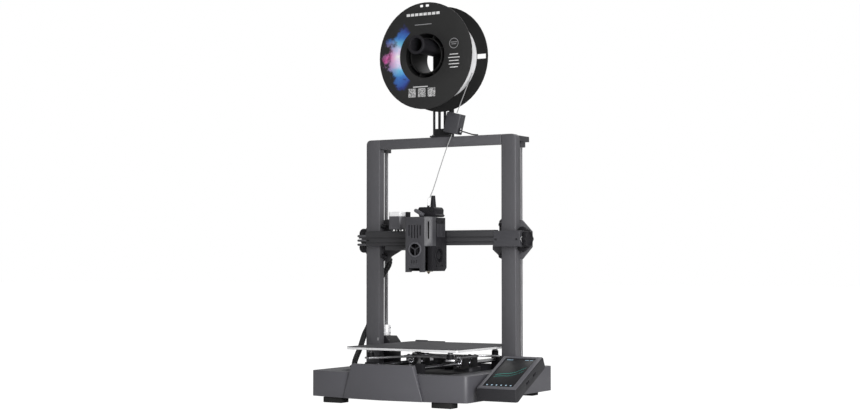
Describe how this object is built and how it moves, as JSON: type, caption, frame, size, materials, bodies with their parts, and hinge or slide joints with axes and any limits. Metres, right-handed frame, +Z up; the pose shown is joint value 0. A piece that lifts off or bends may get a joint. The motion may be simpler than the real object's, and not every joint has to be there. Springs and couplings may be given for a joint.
{
  "type": "fdm printer",
  "caption": "Desktop filament 3D printer with a moving bed, twin-screw gantry, direct-drive head, tilted touch screen and a top-mounted filament spool.",
  "frame": {"origin": "centre of the bounding box in plan, on the surface the feet stand on", "axes": "+X to the right of the printer as its user sees it, +Y to its back, +Z up"},
  "size_m": [0.4348, 0.3612, 0.7394],
  "materials": {
    "frame_grey": "satin coated",
    "cover_grey": "fine matte texture",
    "black_plastic": "matte",
    "black_metal": "satin black",
    "rubber": "matte",
    "steel_rod": "ground",
    "stamped_steel": "zinc plated",
    "bare_aluminium": "satin",
    "brass_nozzle": "turned",
    "bed_sheet": "fine grain",
    "spool_grey": "moulded",
    "white_filament": "satin",
    "screen_glass": "dark glossy"
  },
  "bodies": {
    "frame": {"base_shell": "cover_grey", "front_cover": "cover_grey", "deck_tray": "black_plastic", "bottom_plate": "black_metal", "foot_front_left": "rubber", "foot_front_right": "rubber", "foot_rear_left": "rubber", "foot_rear_right": "rubber", "power_inlet": "black_plastic", "y_rod_left": "steel_rod", "y_rod_right": "steel_rod", "y_motor": "black_metal", "y_belt": "rubber", "display_housing": "cover_grey", "display_glass": "screen_glass", "upright_left": "frame_grey", "upright_right": "frame_grey", "top_beam": "frame_grey", "z_motor_left": "black_metal", "z_motor_cover": "black_plastic", "top_bearing_left": "cover_grey", "top_bearing_right": "cover_grey", "spool_bracket": "black_metal", "spool_tube": "black_plastic", "filament_sensor": "cover_grey", "sensor_cable": "rubber", "filament_upper": "white_filament", "filament_lower": "white_filament", "cable_harness": "rubber"},
    "bed": {"bed_carriage": "stamped_steel", "heatbed": "bare_aluminium", "build_plate": "bed_sheet"},
    "gantry": {"x_beam": "frame_grey", "x_bracket_left": "frame_grey", "x_bracket_right": "frame_grey", "x_end_cover": "cover_grey", "x_motor": "black_metal", "x_belt": "rubber"},
    "head": {"head_body": "black_plastic", "head_cover": "cover_grey", "extruder": "black_plastic", "nozzle": "brass_nozzle"},
    "screw_left": {"lead_screw_left": "steel_rod", "coupling_left": "bare_aluminium"},
    "screw_right": {"lead_screw_right": "steel_rod"},
    "spool_reel": {"spool": "spool_grey", "filament_winding": "white_filament"},
    "switch_rocker": {"power_switch": "black_plastic"},
    "tension_knob": {"x_tension_knob": "black_plastic"},
    "lever": {"extruder_lever": "cover_grey"},
    "fan_front": {"front_fan": "black_plastic"},
    "fan_side": {"side_fan": "black_plastic"},
    "wheel_left_inner_upper_roller": {"wheel_left_inner_upper": "black_plastic"},
    "wheel_left_inner_lower_roller": {"wheel_left_inner_lower": "black_plastic"},
    "wheel_left_outer_upper_roller": {"wheel_left_outer_upper": "black_plastic"},
    "wheel_left_outer_lower_roller": {"wheel_left_outer_lower": "black_plastic"},
    "wheel_right_inner_upper_roller": {"wheel_right_inner_upper": "black_plastic"},
    "wheel_right_inner_lower_roller": {"wheel_right_inner_lower": "black_plastic"},
    "wheel_right_outer_upper_roller": {"wheel_right_outer_upper": "black_plastic"},
    "wheel_right_outer_lower_roller": {"wheel_right_outer_lower": "black_plastic"}
  },
  "joints": [
    {"name": "z_slide", "type": "slide", "parent": "frame", "child": "gantry", "axis": [0, 0, 1], "range_m": [-0.133, 0.1], "deforming": ["cable_harness", "filament_lower"]},
    {"name": "x_slide", "type": "slide", "parent": "gantry", "child": "head", "axis": [1, 0, 0], "range_m": [-0.113, 0.107]},
    {"name": "y_slide", "type": "slide", "parent": "frame", "child": "bed", "axis": [0, 1, 0], "range_m": [-0.133, 0.087]},
    {"name": "screw_left_spin", "type": "hinge", "parent": "frame", "child": "screw_left", "pos_m": [-0.17935, 0.0764, 0.1325], "axis": [0, 0, 1], "continuous": true},
    {"name": "screw_right_spin", "type": "hinge", "parent": "frame", "child": "screw_right", "pos_m": [0.11665, 0.0764, 0.1325], "axis": [0, 0, 1], "continuous": true},
    {"name": "spool_spin", "type": "hinge", "parent": "frame", "child": "spool_reel", "pos_m": [-0.02975, 0.0049, 0.6394], "axis": [0, 1, 0], "continuous": true},
    {"name": "switch_rock", "type": "hinge", "parent": "frame", "child": "switch_rocker", "pos_m": [-0.17135, 0.1774, 0.027], "axis": [1, 0, 0], "range_deg": [0, 10]},
    {"name": "knob_turn", "type": "hinge", "parent": "gantry", "child": "tension_knob", "pos_m": [0.15865, 0.0264, 0.297], "axis": [1, 0, 0], "continuous": true},
    {"name": "lever_press", "type": "hinge", "parent": "head", "child": "lever", "pos_m": [-0.02835, -0.0386, 0.343], "axis": [0, 1, 0], "range_deg": [-18, 0], "stiffness_Nm_per_rad": 0.2, "springref_deg": 8.59},
    {"name": "front_fan_spin", "type": "hinge", "parent": "head", "child": "fan_front", "pos_m": [-0.03335, -0.0512, 0.2775], "axis": [0, 1, 0], "continuous": true},
    {"name": "side_fan_spin", "type": "hinge", "parent": "head", "child": "fan_side", "pos_m": [-0.00615, -0.0216, 0.267], "axis": [1, 0, 0], "continuous": true},
    {"name": "wheel_left_inner_upper_spin", "type": "hinge", "parent": "gantry", "child": "wheel_left_inner_upper_roller", "pos_m": [-0.15955, 0.0364, 0.324], "axis": [0, 1, 0], "continuous": true},
    {"name": "wheel_left_inner_lower_spin", "type": "hinge", "parent": "gantry", "child": "wheel_left_inner_lower_roller", "pos_m": [-0.15955, 0.0364, 0.266], "axis": [0, 1, 0], "continuous": true},
    {"name": "wheel_left_outer_upper_spin", "type": "hinge", "parent": "gantry", "child": "wheel_left_outer_upper_roller", "pos_m": [-0.20465, 0.0364, 0.31], "axis": [0, 1, 0], "continuous": true},
    {"name": "wheel_left_outer_lower_spin", "type": "hinge", "parent": "gantry", "child": "wheel_left_outer_lower_roller", "pos_m": [-0.20465, 0.0364, 0.283], "axis": [0, 1, 0], "continuous": true},
    {"name": "wheel_right_inner_upper_spin", "type": "hinge", "parent": "gantry", "child": "wheel_right_inner_upper_roller", "pos_m": [0.09685, 0.0364, 0.324], "axis": [0, 1, 0], "continuous": true},
    {"name": "wheel_right_inner_lower_spin", "type": "hinge", "parent": "gantry", "child": "wheel_right_inner_lower_roller", "pos_m": [0.09685, 0.0364, 0.266], "axis": [0, 1, 0], "continuous": true},
    {"name": "wheel_right_outer_upper_spin", "type": "hinge", "parent": "gantry", "child": "wheel_right_outer_upper_roller", "pos_m": [0.14195, 0.0364, 0.31], "axis": [0, 1, 0], "continuous": true},
    {"name": "wheel_right_outer_lower_spin", "type": "hinge", "parent": "gantry", "child": "wheel_right_outer_lower_roller", "pos_m": [0.14195, 0.0364, 0.283], "axis": [0, 1, 0], "continuous": true}
  ],
  "couplings": [
    {"joint": "screw_left_spin", "follows": "z_slide", "rad_per_m": -785.4},
    {"joint": "screw_right_spin", "follows": "z_slide", "rad_per_m": -785.4},
    {"joint": "wheel_left_inner_upper_spin", "follows": "z_slide", "rad_per_m": -222.22},
    {"joint": "wheel_left_inner_lower_spin", "follows": "z_slide", "rad_per_m": -222.22},
    {"joint": "wheel_left_outer_upper_spin", "follows": "z_slide", "rad_per_m": 100},
    {"joint": "wheel_left_outer_lower_spin", "follows": "z_slide", "rad_per_m": 100},
    {"joint": "wheel_right_inner_upper_spin", "follows": "z_slide", "rad_per_m": 222.22},
    {"joint": "wheel_right_inner_lower_spin", "follows": "z_slide", "rad_per_m": 222.22},
    {"joint": "wheel_right_outer_upper_spin", "follows": "z_slide", "rad_per_m": -100},
    {"joint": "wheel_right_outer_lower_spin", "follows": "z_slide", "rad_per_m": -100}
  ]
}
